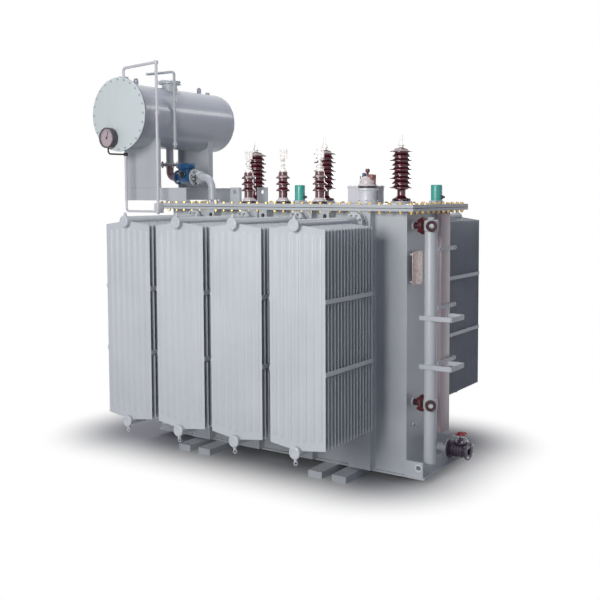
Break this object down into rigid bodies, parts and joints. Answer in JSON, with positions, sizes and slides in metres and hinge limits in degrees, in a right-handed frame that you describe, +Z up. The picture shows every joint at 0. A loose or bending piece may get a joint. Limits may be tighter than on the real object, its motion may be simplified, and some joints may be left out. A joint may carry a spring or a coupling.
{
  "type": "power transformer",
  "caption": "Oil-filled power transformer: a plate tank with panel radiators on both long sides, brown bushings on its cover and an end conservator drum.",
  "frame": {"origin": "on the floor under the middle of the tank", "axes": "+X along the tank away from the conservator, -Y towards the low-voltage front, +Z up"},
  "size_m": [3.807, 2.91, 3.72],
  "materials": {
    "grey_paint": "satin grey enamel",
    "brown_glaze": "glazed brown porcelain",
    "terminal_metal": "tinned terminal metal",
    "clamp_dark": "dark painted clamps",
    "relay_blue": "blue cast housing",
    "valve_maroon": "maroon valve paint",
    "relief_green": "green cap paint",
    "drain_grey": "dark cast body",
    "wheel_red": "red handwheel paint",
    "gauge_case": "dark gauge case",
    "tap_brown": "reddish drive head"
  },
  "bodies": {
    "root": {"base_plate": "grey_paint", "breather_pipe": "grey_paint", "cable_duct": "grey_paint", "conservator_beams": "grey_paint", "conservator_front_cover": "grey_paint", "conservator_front_leg": "grey_paint", "conservator_rear_end": "grey_paint", "conservator_rear_leg": "grey_paint", "conservator_shell": "grey_paint", "cover_lifting_plates": "grey_paint", "cover_plate": "grey_paint", "drain_handwheel": "wheel_red", "drain_valve": "drain_grey", "filler_neck": "grey_paint", "filter_brackets": "grey_paint", "filter_valves": "valve_maroon", "front_oil_columns": "grey_paint", "front_radiator_1": "grey_paint", "front_radiator_2": "grey_paint", "front_radiator_3": "grey_paint", "front_radiator_4": "grey_paint", "front_radiator_valves": "grey_paint", "gas_relay": "relay_blue", "gauge_conduit": "grey_paint", "hv_clamps": "grey_paint", "hv_porcelains": "brown_glaze", "hv_terminals": "terminal_metal", "jacking_lugs": "grey_paint", "lv_clamps": "clamp_dark", "lv_porcelains": "brown_glaze", "lv_terminals": "terminal_metal", "nameplate_holder": "grey_paint", "oil_filter_pipe": "grey_paint", "oil_level_gauge": "gauge_case", "rear_oil_columns": "grey_paint", "rear_radiator_1": "grey_paint", "rear_radiator_2": "grey_paint", "rear_radiator_3": "grey_paint", "rear_radiator_4": "grey_paint", "rear_radiator_valves": "grey_paint", "relay_drop_pipe": "grey_paint", "relay_elbow": "valve_maroon", "relay_outlet_pipe": "grey_paint", "relief_caps": "relief_green", "skid_channels_left": "grey_paint", "skid_channels_right": "grey_paint", "tank_front_wall": "grey_paint", "tank_left_end": "grey_paint", "tank_lifting_lugs": "grey_paint", "tank_rear_wall": "grey_paint", "tank_right_end": "grey_paint", "tank_rim_ends": "grey_paint", "tank_rim_sides": "grey_paint", "tap_changer_base": "grey_paint", "tap_changer_drive": "tap_brown", "vent_pipe": "grey_paint"}
  },
  "joints": []
}
